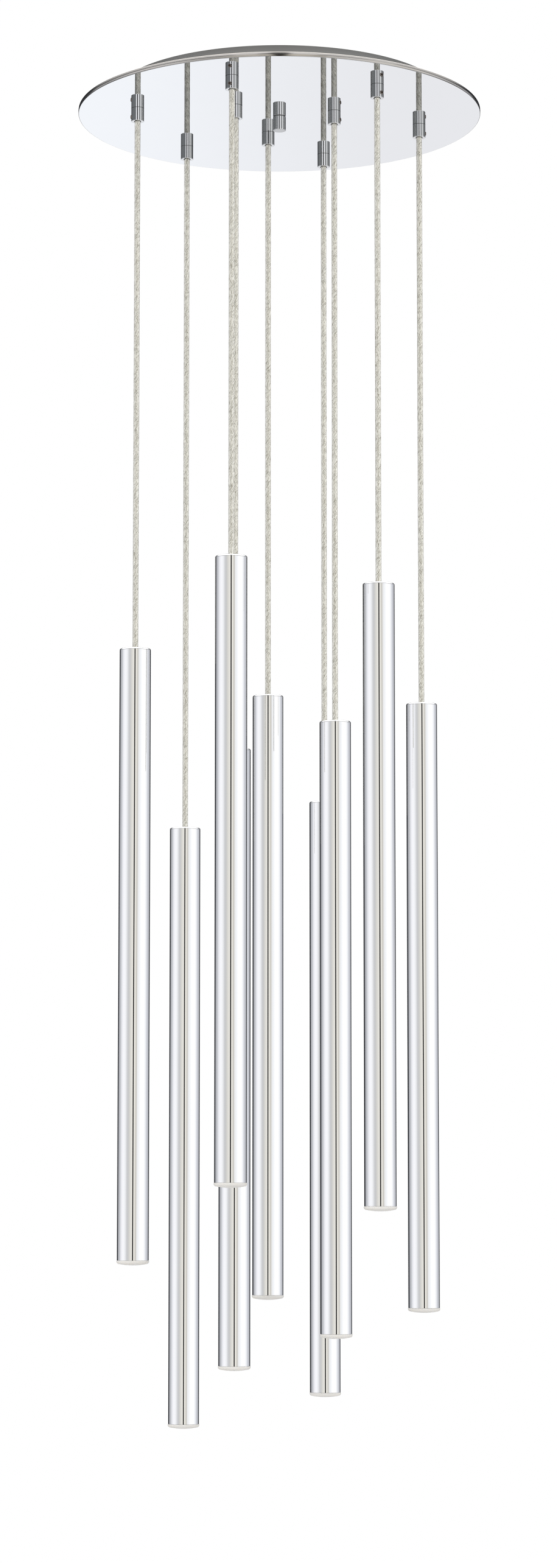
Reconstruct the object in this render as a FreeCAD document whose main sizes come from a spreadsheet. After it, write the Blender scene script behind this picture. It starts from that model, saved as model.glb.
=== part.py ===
import FreeCAD, Part

import math
import os
from types import SimpleNamespace

import Sketcher

# A ceiling chandelier: nine slim light tubes hang on straight cords, at different heights, from a round
# mirror plate. Six cords leave the plate on an outer ring and three on an inner ring.
# The origin is the centre of the canopy where it meets the ceiling. +Z is up, +X right and -Y the front.
# Everything is in millimetres.

LENGTHS = {
    # canopy: a mirror plate with an upturned rim, under a smaller round pan that meets the ceiling
    "canopy_depth": 23.0,
    "plate_radius": 203.2,
    "plate_sheet": 1.5,
    "rim_height": 4.5,
    "rim_fillet": 0.9,
    "pan_room": 10.0,
    "pan_sheet": 1.2,
    "pan_fillet": 0.9,
    # rings on which the cords leave the plate
    "outer_ring_radius": 145.3,
    "inner_ring_radius": 58.2,
    # cord and its grip under the plate
    "cord_radius": 2.9,
    "grip_radius": 6.5,
    "grip_length": 13.5,
    "grip_chamfer": 0.4,
    "grip_bore_radius": 3.5,
    "nipple_radius": 5.0,
    "nipple_play": 0.25,
    "nipple_spare": 2.0,
    "tail_spare": 3.0,
    "set_screw_radius": 2.0,
    "set_screw_depth": 8.9,
    "set_screw_proud": 0.6,
    "set_screw_tip_play": 0.1,
    "set_screw_socket_flats": 2.0,
    "set_screw_socket_depth": 1.6,
    "thread_play": 0.05,
    "washer_radius": 8.5,
    "washer_sheet": 1.0,
    "nut_flats": 14.0,
    "nut_height": 3.0,
    # centre rod and the plain round finial that holds the canopy up
    "rod_radius": 3.0,
    "rod_hole_play": 0.6,
    "rod_nut_flats": 10.0,
    "rod_nut_height": 4.0,
    "finial_radius": 6.5,
    "finial_length": 14.5,
    "finial_chamfer": 0.5,
    "finial_neck_radius": 6.1,
    "finial_neck_height": 0.6,
    "finial_thread_depth": 10.0,
    "rod_end_room": 1.0,
    # ceiling bracket
    "bracket_length": 112.0,
    "bracket_width": 19.0,
    "bracket_sheet": 2.0,
    "bracket_corner": 4.0,
    "slot_spacing": 79.4,
    "slot_length": 14.5,
    "slot_radius": 2.3,
    "boss_radius": 5.5,
    "boss_height": 2.2,
    "ground_screw_place": 21.0,
    "ground_screw_radius": 2.0,
    "ground_head_radius": 4.2,
    "ground_head_height": 2.6,
    # driver that feeds the lights
    "driver_length": 148.0,
    "driver_width": 33.0,
    "driver_height": 14.5,
    "driver_edge": 1.5,
    "driver_place": 77.0,
    "ear_length": 9.0,
    "ear_height": 1.5,
    "driver_screw_radius": 1.6,
    "driver_lip": 2.0,
    "driver_lid_depth": 0.8,
    # terminal block
    "block_length": 46.0,
    "block_width": 20.0,
    "block_height": 13.0,
    "block_edge": 1.2,
    "block_place": 95.0,
    "block_step": 10.0,
    "lead_hole_radius": 2.2,
    "lead_hole_depth": 9.0,
    "pan_screw_radius": 1.5,
    "pan_screw_play": 0.1,
    "pan_screw_head_radius": 2.9,
    "pan_screw_head_height": 1.8,
    # light tube
    "tube_radius": 15.5,
    "tube_wall": 1.2,
    "light_length": 600.0,
    "cap_flange": 1.7,
    "cap_fillet": 1.3,
    "cap_plug_length": 14.0,
    "plug_play": 0.15,
    "cord_play": 0.3,
    "cap_bore_depth": 11.0,
    "lead_radius": 1.5,
    # light source inside the lower end
    "sink_length": 34.0,
    "sink_play": 0.3,
    "sink_core_radius": 6.0,
    "sink_base": 5.0,
    "fin_gap": 3.2,
    "board_radius": 10.0,
    "board_sheet": 1.6,
    "chip_radius": 5.5,
    "chip_height": 0.8,
    # frosted lens under the tube
    "lens_overhang": 0.35,
    "lens_rim": 2.8,
    "lens_dome": 1.85,
    "lens_dome_wall": 1.4,
    "lens_plug_wall": 1.8,
    "lens_plug_length": 7.0,
    # from the mirror plate down to the lower edge of each tube, in the order of the rings
    "drop_1": 1196.0,
    "drop_2": 1283.0,
    "drop_3": 1313.0,
    "drop_4": 1149.0,
    "drop_5": 1075.0,
    "drop_6": 1097.0,
    "drop_7": 1184.0,
    "drop_8": 1250.0,
    "drop_9": 1220.0,
}
ANGLES = {"first_cord_angle": 11.4}
OUTER_COUNT = 6
INNER_COUNT = 3
FIN_COUNT = 8
LEAD_HOLE_COUNT = 4
FULL_TURN = 360.0

doc = FreeCAD.newDocument("chandelier")
sheet = doc.addObject("Spreadsheet::Sheet", "dims")
for row, (alias, number) in enumerate({**LENGTHS, **ANGLES}.items(), start=1):
    sheet.set("A%d" % row, alias)
    sheet.set("B%d" % row, str(number))
    sheet.setAlias("B%d" % row, alias)
doc.recompute()


class Size:
    """A number together with the formula that gives it from the cells of the sheet."""

    def __init__(self, number, formula):
        self.number = float(number)
        self.formula = formula

    @staticmethod
    def of(other):
        return other if isinstance(other, Size) else Size(other, repr(other))

    def __add__(self, other):
        other = Size.of(other)
        return Size(self.number + other.number, "(%s + %s)" % (self.formula, other.formula))

    def __sub__(self, other):
        other = Size.of(other)
        return Size(self.number - other.number, "(%s - %s)" % (self.formula, other.formula))

    def __mul__(self, other):
        other = Size.of(other)
        return Size(self.number * other.number, "(%s * %s)" % (self.formula, other.formula))

    def __truediv__(self, other):
        other = Size.of(other)
        return Size(self.number / other.number, "(%s / %s)" % (self.formula, other.formula))

    def __neg__(self):
        return Size(-self.number, "(0 - %s)" % self.formula)

    def cos(self):
        return Size(math.cos(math.radians(self.number)), "cos(%s)" % self.formula)

    def sin(self):
        return Size(math.sin(math.radians(self.number)), "sin(%s)" % self.formula)


ZERO = Size(0, "0")
cells = {**LENGTHS, **ANGLES}
d = SimpleNamespace(**{alias: Size(number, "dims." + alias) for alias, number in cells.items()})

# Sizes worked out from the driving ones.
plate_face = -d.canopy_depth
plate_back = plate_face + d.plate_sheet
pan_floor = plate_back + d.pan_sheet
pan_radius = d.outer_ring_radius + d.washer_radius + d.pan_room + d.pan_sheet
grip_end = plate_face - d.grip_length
nipple_length = d.plate_sheet + d.pan_sheet + d.washer_sheet + d.nut_height + d.nipple_spare
tube_bore = d.tube_radius - d.tube_wall
plug_radius = tube_bore - d.plug_play
flat_to_corner_share = Size(30, "30").cos()

sub_parts = []


def keep(item, name):
    """Name a finished sub-part and put it on the list of what is exported."""
    item.Label = name
    sub_parts.append(item)
    return item


def place(item, x=None, y=None, z=None, turn=None):
    """Tie an object's place, and its turn about the vertical, to the sheet."""
    for axis, value in (("Base.x", x), ("Base.y", y), ("Base.z", z), ("Rotation.Angle", turn)):
        if value is not None:
            item.setExpression(".Placement." + axis, value.formula)


def origin_plane(body, role):
    """One of the three planes of a body's own origin."""
    return next(item for item in body.Origin.OriginFeatures if item.Role == role)


def new_sketch(body, role="XY_Plane"):
    """An empty sketch on a plane of the body's own origin."""
    sketch = body.newObject("Sketcher::SketchObject", body.Name + "_sketch")
    sketch.AttachmentSupport = [(origin_plane(body, role), "")]
    sketch.MapMode = "FlatFace"
    return sketch


def tie(sketch, kind, geometry, point, value):
    """Fix one coordinate of a sketch point, measured from the origin, by a formula."""
    if value.number == 0:
        axis = -2 if kind == "DistanceX" else -1
        sketch.addConstraint(Sketcher.Constraint("PointOnObject", geometry, point, axis))
        return
    index = sketch.addConstraint(Sketcher.Constraint(kind, -1, 1, geometry, point, value.number))
    sketch.setExpression("Constraints[%d]" % index, value.formula)


def add_outline(sketch, outline):
    """Draw a closed outline from its corners.

    A corner is (x, y). A corner (x, y, cx, cy) starts an arc about (cx, cy) to the next corner.
    """
    corners = [tuple(Size.of(value) for value in corner) for corner in outline]
    flat = [FreeCAD.Vector(corner[0].number, corner[1].number, 0) for corner in corners]
    ends = []
    for index, corner in enumerate(corners):
        start = flat[index]
        stop = flat[(index + 1) % len(corners)]
        if len(corner) == 2:
            ends.append((sketch.addGeometry(Part.LineSegment(start, stop), False), 1, 2))
            continue
        centre = FreeCAD.Vector(corner[2].number, corner[3].number, 0)
        first = math.atan2(start.y - centre.y, start.x - centre.x)
        last = math.atan2(stop.y - centre.y, stop.x - centre.x)
        backward = (last - first) % (2 * math.pi) > math.pi
        if backward:
            first, last = last, first
        circle = Part.Circle(centre, FreeCAD.Vector(0, 0, 1), (start - centre).Length)
        geometry = sketch.addGeometry(Part.ArcOfCircle(circle, first, last), False)
        ends.append((geometry, 2, 1) if backward else (geometry, 1, 2))
    for index, corner in enumerate(corners):
        geometry, start, stop = ends[index]
        following, following_start, _ = ends[(index + 1) % len(corners)]
        sketch.addConstraint(Sketcher.Constraint("Coincident", geometry, stop, following, following_start))
        tie(sketch, "DistanceX", geometry, start, corner[0])
        tie(sketch, "DistanceY", geometry, start, corner[1])
        if len(corner) == 4:
            tie(sketch, "DistanceX", geometry, 3, corner[2])


def add_circle(sketch, radius, x=ZERO, y=ZERO):
    """Draw a circle of a given radius about a point."""
    centre = FreeCAD.Vector(x.number, y.number, 0)
    geometry = sketch.addGeometry(Part.Circle(centre, FreeCAD.Vector(0, 0, 1), radius.number), False)
    tie(sketch, "DistanceX", geometry, 3, x)
    tie(sketch, "DistanceY", geometry, 3, y)
    index = sketch.addConstraint(Sketcher.Constraint("Radius", geometry, radius.number))
    sketch.setExpression("Constraints[%d]" % index, radius.formula)


def new_body(name):
    return doc.addObject("PartDesign::Body", name)


def revolve(name, outline):
    """A turned body: an outline of (radius, height) corners carried once round the vertical axis."""
    body = new_body(name)
    sketch = new_sketch(body, "XZ_Plane")
    add_outline(sketch, outline)
    turned = body.newObject("PartDesign::Revolution", name + "_turned")
    turned.Profile = sketch
    turned.ReferenceAxis = (sketch, ["V_Axis"])
    turned.Angle = FULL_TURN
    return body


def feature_from(body, kind, sketch, length=None, reverse=False):
    """Pad or pocket a sketch, by a length or, without one, through everything both ways."""
    feature = body.newObject("PartDesign::" + kind, sketch.Name + "_" + kind.lower())
    feature.Profile = sketch
    if length is None:
        feature.Type = "ThroughAll"
        feature.Midplane = True
    else:
        feature.setExpression("Length", length.formula)
        feature.Reversed = reverse
    return feature


def lift(sketch, height):
    """Move a sketch along the normal of its plane."""
    sketch.setExpression(".AttachmentOffset.Base.z", height.formula)


def repeat_round(body, feature, sketch, count):
    """Repeat a feature evenly about the vertical axis."""
    pattern = body.newObject("PartDesign::PolarPattern", feature.Name + "_round")
    pattern.Originals = [feature]
    pattern.Axis = (sketch, ["N_Axis"])
    pattern.Angle = FULL_TURN
    pattern.Occurrences = count
    body.Tip = pattern
    return pattern


def hole(body, radius, x=ZERO, y=ZERO, count=1):
    """A round hole through a body, repeated evenly about the vertical axis."""
    sketch = new_sketch(body)
    add_circle(sketch, radius, x, y)
    pocket = feature_from(body, "Pocket", sketch)
    if count > 1:
        repeat_round(body, pocket, sketch, count)
    return pocket


def round_rectangle(sketch, length, width, corner):
    """Draw a rectangle about the origin with rounded corners."""
    right = length / 2
    back = width / 2
    inner_x = right - corner
    inner_y = back - corner
    add_outline(sketch, [
        (right, -inner_y), (right, inner_y, inner_x, inner_y),
        (inner_x, back), (-inner_x, back, -inner_x, inner_y),
        (-right, inner_y), (-right, -inner_y, -inner_x, -inner_y),
        (-inner_x, -back), (inner_x, -back, inner_x, -inner_y),
    ])


def cord_places():
    """Number, x, y, angle and drop of each cord: first the outer ring, then the inner ring."""
    places = []
    for index in range(OUTER_COUNT + INNER_COUNT):
        outer = index < OUTER_COUNT
        radius = d.outer_ring_radius if outer else d.inner_ring_radius
        step = FULL_TURN / OUTER_COUNT * index
        if not outer:
            step = FULL_TURN / 4 + FULL_TURN / INNER_COUNT * (index - OUTER_COUNT)
        angle = d.first_cord_angle + step
        drop = getattr(d, "drop_%d" % (index + 1))
        places.append((index + 1, radius * angle.cos(), radius * angle.sin(), angle, drop))
    return places


PLACES = cord_places()


def copies_at_cords(name, source, height):
    """One node of nine copies of a piece, one at each cord, turned to face outwards."""
    copies = []
    for number, x, y, angle, _ in PLACES:
        copy = doc.addObject("App::Link", "%s_%d" % (name, number))
        copy.LinkedObject = source
        place(copy, x, y, height, angle)
        copies.append(copy)
    group = doc.addObject("Part::Compound", name)
    group.Links = copies
    return keep(group, name)


def drill_cord_holes(body):
    """Holes for the nine grips and the centre rod, in a body turned to the first cord's angle."""
    radius = d.nipple_radius + d.nipple_play
    hole(body, radius, d.outer_ring_radius, ZERO, OUTER_COUNT)
    hole(body, radius, ZERO, d.inner_ring_radius, INNER_COUNT)
    hole(body, d.rod_radius + d.rod_hole_play)


# Canopy

def make_canopy_plate():
    """Mirror plate: a flat disc with an upturned rim and a small radius at its lower edge."""
    inner = d.plate_radius - d.plate_sheet
    turn_centre = d.plate_radius - d.rim_fillet
    body = revolve("canopy_plate", [
        (0, 0), (turn_centre, 0, turn_centre, d.rim_fillet),
        (d.plate_radius, d.rim_fillet), (d.plate_radius, d.rim_height),
        (inner, d.rim_height), (inner, d.plate_sheet), (0, d.plate_sheet),
    ])
    drill_cord_holes(body)
    place(body, z=plate_face, turn=d.first_cord_angle)
    return keep(body, "canopy_plate")


def make_canopy_pan():
    """Round pan that stands on the plate's back and meets the ceiling with its edge."""
    height = -plate_back
    inner = pan_radius - d.pan_sheet
    turn_centre = pan_radius - d.pan_fillet
    body = revolve("canopy_pan", [
        (0, 0), (turn_centre, 0, turn_centre, d.pan_fillet),
        (pan_radius, d.pan_fillet), (pan_radius, height),
        (inner, height), (inner, d.pan_sheet), (0, d.pan_sheet),
    ])
    drill_cord_holes(body)
    place(body, z=plate_back, turn=d.first_cord_angle)
    return keep(body, "canopy_pan")


def make_bracket():
    """Ceiling bracket: a flat bar with two slots for the box screws and a threaded boss."""
    body = new_body("mounting_bracket")
    bar = new_sketch(body)
    round_rectangle(bar, d.bracket_length, d.bracket_width, d.bracket_corner)
    feature_from(body, "Pad", bar, d.bracket_sheet, True)
    boss = new_sketch(body)
    add_circle(boss, d.boss_radius)
    feature_from(body, "Pad", boss, d.bracket_sheet + d.boss_height, True)
    slot = new_sketch(body)
    middle = d.slot_spacing / 2
    reach = d.slot_length / 2 - d.slot_radius
    near = middle - reach
    far = middle + reach
    add_outline(slot, [
        (far, -d.slot_radius, far, 0), (far, d.slot_radius),
        (near, d.slot_radius, near, 0), (near, -d.slot_radius),
    ])
    pocket = feature_from(body, "Pocket", slot)
    repeat_round(body, pocket, slot, 2)
    hole(body, d.rod_radius + d.thread_play)
    hole(body, d.ground_screw_radius + d.thread_play, d.ground_screw_place)
    return keep(body, "mounting_bracket")


def make_ground_screw():
    """Hexagonal ground screw, set from below into the bracket."""
    head = doc.addObject("Part::Prism", "ground_head")
    head.Polygon = 6
    head.setExpression("Circumradius", d.ground_head_radius.formula)
    head.setExpression("Height", d.ground_head_height.formula)
    place(head, d.ground_screw_place, ZERO, -(d.bracket_sheet + d.ground_head_height))
    shank = doc.addObject("Part::Cylinder", "ground_shank")
    shank.setExpression("Radius", d.ground_screw_radius.formula)
    shank.setExpression("Height", (d.bracket_sheet + d.ground_head_height).formula)
    place(shank, d.ground_screw_place, ZERO, -(d.bracket_sheet + d.ground_head_height))
    screw = doc.addObject("Part::Fuse", "ground_screw")
    screw.Base = head
    screw.Tool = shank
    return keep(screw, "ground_screw")


def make_centre_rod():
    """Threaded rod from the bracket down into the finial."""
    reach = d.canopy_depth + d.finial_thread_depth - d.rod_end_room
    body = revolve("centre_rod", [(0, 0), (d.rod_radius, 0), (d.rod_radius, reach), (0, reach)])
    place(body, z=-reach)
    return keep(body, "centre_rod")


def hexagon_nut(name, flats, height, bore):
    """A hexagon nut of a given width across its flats, standing on z = 0."""
    prism = doc.addObject("Part::Prism", name + "_blank")
    prism.Polygon = 6
    prism.setExpression("Circumradius", (flats / 2 / flat_to_corner_share).formula)
    prism.setExpression("Height", height.formula)
    drill = doc.addObject("Part::Cylinder", name + "_drill")
    drill.setExpression("Radius", bore.formula)
    drill.setExpression("Height", height.formula)
    nut = doc.addObject("Part::Cut", name)
    nut.Base = prism
    nut.Tool = drill
    return nut


def make_rod_nut():
    """Nut that locks the rod under the bracket's boss."""
    nut = hexagon_nut("rod_nut", d.rod_nut_flats, d.rod_nut_height, d.rod_radius + d.thread_play)
    place(nut, z=-(d.bracket_sheet + d.boss_height + d.rod_nut_height))
    return keep(nut, "rod_nut")


def make_finial():
    """Round nut at the plate's centre, with a short neck against the plate and a blind thread."""
    length = d.finial_length
    bore = d.rod_radius + d.thread_play
    body = revolve("finial", [
        (0, 0), (d.finial_radius - d.finial_chamfer, 0), (d.finial_radius, d.finial_chamfer),
        (d.finial_radius, length - d.finial_neck_height),
        (d.finial_neck_radius, length - d.finial_neck_height), (d.finial_neck_radius, length),
        (bore, length), (bore, length - d.finial_thread_depth), (0, length - d.finial_thread_depth),
    ])
    place(body, z=plate_face - length)
    return keep(body, "finial")


# Cord grips

def make_grips():
    """Turned grips: a cylinder under the plate, a threaded nipple through it, and a set screw hole."""
    top = d.grip_length
    body = revolve("cord_grip", [
        (d.grip_bore_radius, 0), (d.grip_radius - d.grip_chamfer, 0), (d.grip_radius, d.grip_chamfer),
        (d.grip_radius, top - d.grip_chamfer), (d.grip_radius - d.grip_chamfer, top),
        (d.nipple_radius, top), (d.nipple_radius, top + nipple_length),
        (d.grip_bore_radius, top + nipple_length),
    ])
    sketch = new_sketch(body, "YZ_Plane")
    add_circle(sketch, d.set_screw_radius + d.thread_play, ZERO, top - d.set_screw_depth)
    feature_from(body, "Pocket", sketch, d.grip_radius * 2, True)
    return copies_at_cords("cord_grips", body, grip_end)


def make_grip_screws():
    """Socket set screws that point inwards and clamp each cord."""
    tip = d.cord_radius + d.set_screw_tip_play
    length = d.grip_radius + d.set_screw_proud - tip
    shank = doc.addObject("Part::Cylinder", "set_screw_shank")
    shank.setExpression("Radius", d.set_screw_radius.formula)
    shank.setExpression("Height", length.formula)
    socket = doc.addObject("Part::Prism", "set_screw_socket")
    socket.Polygon = 6
    socket.setExpression("Circumradius", (d.set_screw_socket_flats / 2 / flat_to_corner_share).formula)
    socket.setExpression("Height", d.set_screw_socket_depth.formula)
    place(socket, z=length - d.set_screw_socket_depth)
    screw = doc.addObject("Part::Cut", "set_screw")
    screw.Base = shank
    screw.Tool = socket
    screw.Placement.Rotation = FreeCAD.Rotation(FreeCAD.Vector(0, 1, 0), 90)
    place(screw, x=tip, z=d.grip_length - d.set_screw_depth)
    carrier = doc.addObject("Part::Compound", "set_screw_in_grip")
    carrier.Links = [screw]
    return copies_at_cords("grip_screws", carrier, grip_end)


def make_grip_washers():
    """Flat washers on the nipples, on the pan's floor."""
    inner = d.nipple_radius + d.nipple_play
    body = revolve("grip_washer", [
        (inner, 0), (d.washer_radius, 0), (d.washer_radius, d.washer_sheet), (inner, d.washer_sheet),
    ])
    return copies_at_cords("grip_washers", body, pan_floor)


def make_grip_nuts():
    """Thin hexagon nuts that clamp the grips to the plate and the pan."""
    nut = hexagon_nut("grip_nut", d.nut_flats, d.nut_height, d.nipple_radius + d.thread_play)
    return copies_at_cords("grip_nuts", nut, pan_floor + d.washer_sheet)


def make_cord_tails():
    """The clamped stretch of each cord inside its grip, up to just above the nipple."""
    tail = doc.addObject("Part::Cylinder", "cord_tail")
    tail.setExpression("Radius", d.cord_radius.formula)
    tail.setExpression("Height", (d.grip_length + nipple_length + d.tail_spare).formula)
    return copies_at_cords("cord_tails", tail, grip_end)


# Electrical pieces in the canopy

def turned(x, y):
    """A point of the layout on the pan's floor, which is turned to the first cord's angle."""
    cosine = d.first_cord_angle.cos()
    sine = d.first_cord_angle.sin()
    return x * cosine - y * sine, x * sine + y * cosine


def make_driver():
    """Flat driver box in front of the bracket, with a raised lid panel and a screw ear at each end."""
    body = new_body("led_driver")
    base = new_sketch(body)
    round_rectangle(base, d.driver_length, d.driver_width, d.driver_edge)
    feature_from(body, "Pad", base, d.driver_height - d.driver_lid_depth)
    lid = new_sketch(body)
    lift(lid, d.driver_height - d.driver_lid_depth)
    round_rectangle(lid, d.driver_length - d.driver_lip * 2, d.driver_width - d.driver_lip * 2, d.driver_edge)
    feature_from(body, "Pad", lid, d.driver_lid_depth)
    ears = new_sketch(body)
    round_rectangle(ears, d.driver_length + d.ear_length * 2, d.driver_width / 2, d.driver_edge)
    feature_from(body, "Pad", ears, d.ear_height)
    screw_hole = new_sketch(body)
    add_circle(screw_hole, d.driver_screw_radius, d.driver_length / 2 + d.ear_length / 2)
    pocket = feature_from(body, "Pocket", screw_hole)
    repeat_round(body, pocket, screw_hole, 2)
    place(body, *turned(ZERO, -d.driver_place), pan_floor, d.first_cord_angle)
    return keep(body, "led_driver")


def make_terminal_block():
    """Push-in terminal block behind the bracket: a row of lead holes and a screw hole at its middle."""
    body = new_body("terminal_block")
    base = new_sketch(body)
    round_rectangle(base, d.block_length, d.block_width, d.block_edge)
    feature_from(body, "Pad", base, d.block_height)
    hole(body, d.pan_screw_radius + d.pan_screw_play)
    head_seat = new_sketch(body)
    lift(head_seat, d.block_height)
    add_circle(head_seat, d.pan_screw_head_radius + d.pan_screw_play)
    feature_from(body, "Pocket", head_seat, d.block_height / 2)
    for index in range(LEAD_HOLE_COUNT):
        sketch = new_sketch(body, "XZ_Plane")
        lift(sketch, d.block_width / 2)
        along = d.block_step * (index - (LEAD_HOLE_COUNT - 1) / 2)
        add_circle(sketch, d.lead_hole_radius, along, d.block_height / 2)
        feature_from(body, "Pocket", sketch, d.lead_hole_depth)
    place(body, *turned(ZERO, d.block_place), pan_floor, d.first_cord_angle)
    return keep(body, "terminal_block")


def make_pan_screws():
    """Screws through the driver's ears and the terminal block into the pan's floor."""
    ear = d.driver_length / 2 + d.ear_length / 2
    seats = (
        (ear, -d.driver_place, d.ear_height),
        (-ear, -d.driver_place, d.ear_height),
        (ZERO, d.block_place, d.block_height / 2),
    )
    screws = []
    for index, (x, y, height) in enumerate(seats):
        body = revolve("pan_screw_%d" % index, [
            (0, 0), (d.pan_screw_radius, 0), (d.pan_screw_radius, height),
            (d.pan_screw_head_radius, height), (d.pan_screw_head_radius, height + d.pan_screw_head_height),
            (0, height + d.pan_screw_head_height),
        ])
        place(body, *turned(x, y), pan_floor)
        screws.append(body)
    group = doc.addObject("Part::Compound", "pan_screws")
    group.Links = screws
    return keep(group, "pan_screws")


# Hanging lights

def make_cord(number, x, y, drop):
    """Straight free cord from the grip's lower face to its seat in the cap."""
    foot = plate_face - drop + d.light_length - d.cap_bore_depth
    cord = doc.addObject("Part::Cylinder", "cord_%d" % number)
    cord.setExpression("Radius", d.cord_radius.formula)
    cord.setExpression("Height", (grip_end - foot).formula)
    place(cord, x, y, foot)
    return keep(cord, "cord_%d" % number)


def make_cap(number, x, y, drop):
    """Turned cap: a rounded flange on the tube's end, a plug inside it, and a stepped cord bore."""
    bore = d.cord_radius + d.cord_play
    top = d.cap_plug_length + d.cap_flange
    turn_centre = d.tube_radius - d.cap_fillet
    body = revolve("cap_%d" % number, [
        (d.lead_radius, 0), (plug_radius, 0), (plug_radius, d.cap_plug_length),
        (d.tube_radius, d.cap_plug_length),
        (d.tube_radius, top - d.cap_fillet, turn_centre, top - d.cap_fillet),
        (turn_centre, top), (bore, top), (bore, top - d.cap_bore_depth),
        (d.lead_radius, top - d.cap_bore_depth),
    ])
    place(body, x, y, plate_face - drop + d.light_length - top)
    return keep(body, "cap_%d" % number)


def make_tube(number, x, y, drop):
    """Polished tube between the cap's flange and the lens rim."""
    length = d.light_length - d.cap_flange
    body = revolve("tube_%d" % number, [
        (tube_bore, 0), (d.tube_radius, 0), (d.tube_radius, length), (tube_bore, length),
    ])
    place(body, x, y, plate_face - drop)
    return keep(body, "tube_%d" % number)


def make_led_module(number, x, y, drop):
    """Finned heat sink that stands on the lens plug, with the light source board under it."""
    outer = tube_bore - d.sink_play
    board = d.board_sheet + d.chip_height
    body = revolve("led_module_%d" % number, [
        (0, -board), (d.chip_radius, -board), (d.chip_radius, -d.board_sheet),
        (d.board_radius, -d.board_sheet), (d.board_radius, 0), (outer, 0),
        (outer, d.sink_length), (0, d.sink_length),
    ])
    groove = new_sketch(body)
    lift(groove, d.sink_length)
    half = d.fin_gap / 2
    end = outer + half
    add_outline(groove, [
        (d.sink_core_radius, -half), (end, -half), (end, half), (d.sink_core_radius, half),
    ])
    pocket = feature_from(body, "Pocket", groove, d.sink_length - d.sink_base)
    repeat_round(body, pocket, groove, FIN_COUNT)
    place(body, x, y, plate_face - drop + d.lens_plug_length)
    return keep(body, "led_module_%d" % number)


def dome_centre(radius, rise):
    """Height of the centre of the circle through (radius, 0) and (0, -rise), above the first point."""
    return (radius * radius - rise * rise) / (rise * 2)


def make_lens(number, x, y, drop):
    """Frosted lens: a shallow dome and a rim under the tube, with a hollow plug inside it."""
    rim = d.tube_radius + d.lens_overhang
    well = plug_radius - d.lens_plug_wall
    inner_rise = d.lens_rim + d.lens_dome - d.lens_dome_wall
    body = revolve("lens_%d" % number, [
        (0, -(d.lens_rim + d.lens_dome), 0, dome_centre(rim, d.lens_dome) - d.lens_rim),
        (rim, -d.lens_rim), (rim, 0), (plug_radius, 0), (plug_radius, d.lens_plug_length),
        (well, d.lens_plug_length), (well, 0, 0, dome_centre(well, inner_rise)), (0, -inner_rise),
    ])
    place(body, x, y, plate_face - drop)
    return keep(body, "lens_%d" % number)


def check_and_export():
    """Stop on any failed object or empty shape, then write one file for each sub-part."""
    doc.recompute()
    for item in doc.Objects:
        if "Invalid" in item.State or "Error" in item.State:
            raise RuntimeError("%s failed: %s" % (item.Label, item.State))
    os.makedirs("parts", exist_ok=True)
    for item in sub_parts:
        if item.Shape.isNull() or not item.Shape.isValid() or not item.Shape.Solids:
            raise RuntimeError("%s has no valid solid" % item.Label)
    for item in sub_parts:
        item.Shape.exportStep("parts/%s.step" % item.Label)
        print("%-18s solids %d  volume %.1f" % (item.Label, len(item.Shape.Solids), item.Shape.Volume))


make_canopy_plate()
make_canopy_pan()
make_bracket()
make_ground_screw()
make_centre_rod()
make_rod_nut()
make_finial()
make_grips()
make_grip_screws()
make_grip_washers()
make_grip_nuts()
make_cord_tails()
make_driver()
make_terminal_block()
make_pan_screws()
for number, x, y, angle, drop in PLACES:
    make_cord(number, x, y, drop)
    make_cap(number, x, y, drop)
    make_tube(number, x, y, drop)
    make_led_module(number, x, y, drop)
    make_lens(number, x, y, drop)
check_and_export()
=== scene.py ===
"""Cluster pendant chandelier: nine polished light tubes on straight cords under a round mirror plate.

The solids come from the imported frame. This script dresses them with finer surfaces and finishes, and
sets up the studio and the camera. Lengths are in metres, +Z is up and -Y is the front.
"""
import math

import bmesh
import bpy
import numpy as np
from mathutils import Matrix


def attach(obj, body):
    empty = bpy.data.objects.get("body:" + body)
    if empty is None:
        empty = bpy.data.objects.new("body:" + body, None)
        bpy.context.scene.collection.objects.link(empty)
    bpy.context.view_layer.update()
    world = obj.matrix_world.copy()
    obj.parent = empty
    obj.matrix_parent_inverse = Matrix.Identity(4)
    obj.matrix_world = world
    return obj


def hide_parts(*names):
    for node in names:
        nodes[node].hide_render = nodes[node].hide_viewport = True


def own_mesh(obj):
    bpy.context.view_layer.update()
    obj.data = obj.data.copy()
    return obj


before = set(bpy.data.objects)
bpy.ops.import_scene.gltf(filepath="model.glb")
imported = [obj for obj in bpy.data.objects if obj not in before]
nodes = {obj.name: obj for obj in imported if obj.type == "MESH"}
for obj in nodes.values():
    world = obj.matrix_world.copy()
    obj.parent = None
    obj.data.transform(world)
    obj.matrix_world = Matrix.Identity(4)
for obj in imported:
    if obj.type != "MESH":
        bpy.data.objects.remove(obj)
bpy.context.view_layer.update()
scene = bpy.context.scene

MM = 0.001
TURN = 2 * math.pi

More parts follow.
